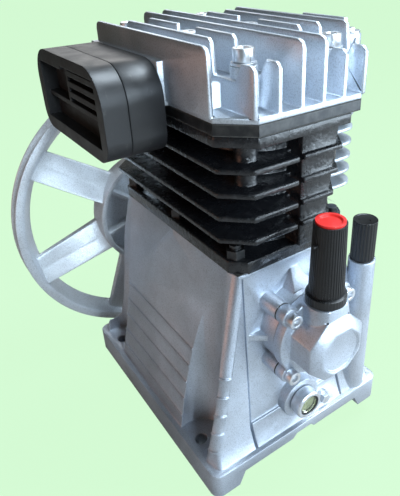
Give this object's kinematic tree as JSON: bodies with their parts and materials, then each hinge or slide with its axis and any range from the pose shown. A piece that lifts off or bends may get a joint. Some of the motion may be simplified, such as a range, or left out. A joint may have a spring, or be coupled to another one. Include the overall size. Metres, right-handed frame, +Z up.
{
  "type": "belt-driven compressor pump",
  "caption": "Belt-driven air compressor pump head with upright cylinders, finned head, side intake filter, oil crankcase and a spoked fan flywheel.",
  "frame": {"origin": "middle of the four mounting holes, on the underside of the base", "axes": "+Z up along the cylinders, +Y along the shaft towards the flywheel, +X towards the oil filler"},
  "size_m": [0.28, 0.3146, 0.3431],
  "materials": {
    "cast_case": "satin",
    "cast_block": "gloss",
    "cast_head": "satin",
    "wheel_paint": "satin",
    "plated_steel": "satin",
    "ground_steel": "polished",
    "piston_alloy": "machined",
    "gasket_sheet": "matte",
    "seal_rubber": "matte",
    "black_plastic": "satin",
    "red_plastic": "gloss",
    "clear_glass": "polished",
    "reflector_tin": "satin",
    "filter_felt": "matte",
    "black_steel": "blackened",
    "brass_fitting": "machined"
  },
  "bodies": {
    "pump": {"crankcase": "cast_case", "crankcase_gasket": "gasket_sheet", "front_bearing_outer_ring": "ground_steel", "rear_bearing_outer_ring": "ground_steel", "rear_oil_seal": "seal_rubber", "front_cap": "cast_case", "front_cap_gasket": "gasket_sheet", "front_cap_screws": "plated_steel", "cylinder_block": "cast_block", "block_nuts": "plated_steel", "plate_gasket": "gasket_sheet", "valve_plate": "black_steel", "intake_reeds": "ground_steel", "discharge_reeds": "ground_steel", "head_gasket": "gasket_sheet", "cylinder_head": "cast_head", "head_bolts": "plated_steel", "head_washers": "plated_steel", "breather_tube": "black_plastic", "breather_cap": "red_plastic", "sight_glass_body": "plated_steel", "sight_glass_seal": "seal_rubber", "sight_glass_lens": "clear_glass", "sight_glass_reflector": "reflector_tin", "drain_plug": "plated_steel", "cooler": "cast_head", "cooler_screws": "plated_steel", "cooler_plug": "plated_steel", "discharge_fitting": "brass_fitting", "filter_housing": "black_plastic", "filter_cover": "black_plastic", "filter_element": "filter_felt"},
    "crank": {"crankshaft": "ground_steel", "front_bearing_inner_ring": "ground_steel", "rear_bearing_inner_ring": "ground_steel", "flywheel": "wheel_paint", "flywheel_key": "ground_steel", "flywheel_washer": "plated_steel", "flywheel_nut": "plated_steel"},
    "piston_front": {"piston_front": "piston_alloy", "piston_front_rings": "ground_steel", "wrist_pin_front": "ground_steel"},
    "piston_rear": {"piston_rear": "piston_alloy", "piston_rear_rings": "ground_steel", "wrist_pin_rear": "ground_steel"},
    "filler_plug": {"oil_filler_plug": "black_plastic", "oil_filler_seal": "seal_rubber"}
  },
  "joints": [
    {"name": "crank_turn", "type": "hinge", "parent": "pump", "child": "crank", "pos_m": [0, 0, 0.1239], "axis": [0, 1, 0], "continuous": true},
    {"name": "piston_front_slide", "type": "slide", "parent": "pump", "child": "piston_front", "axis": [0, 0, 1], "range_m": [-0.044, 0]},
    {"name": "piston_rear_slide", "type": "slide", "parent": "pump", "child": "piston_rear", "axis": [0, 0, 1], "range_m": [0, 0.044]},
    {"name": "filler_plug_lift", "type": "slide", "parent": "pump", "child": "filler_plug", "axis": [0, 0, 1], "range_m": [0, 0.03]}
  ],
  "couplings": [
    {"joint": "piston_rear_slide", "follows": "piston_front_slide", "ratio": -1}
  ]
}
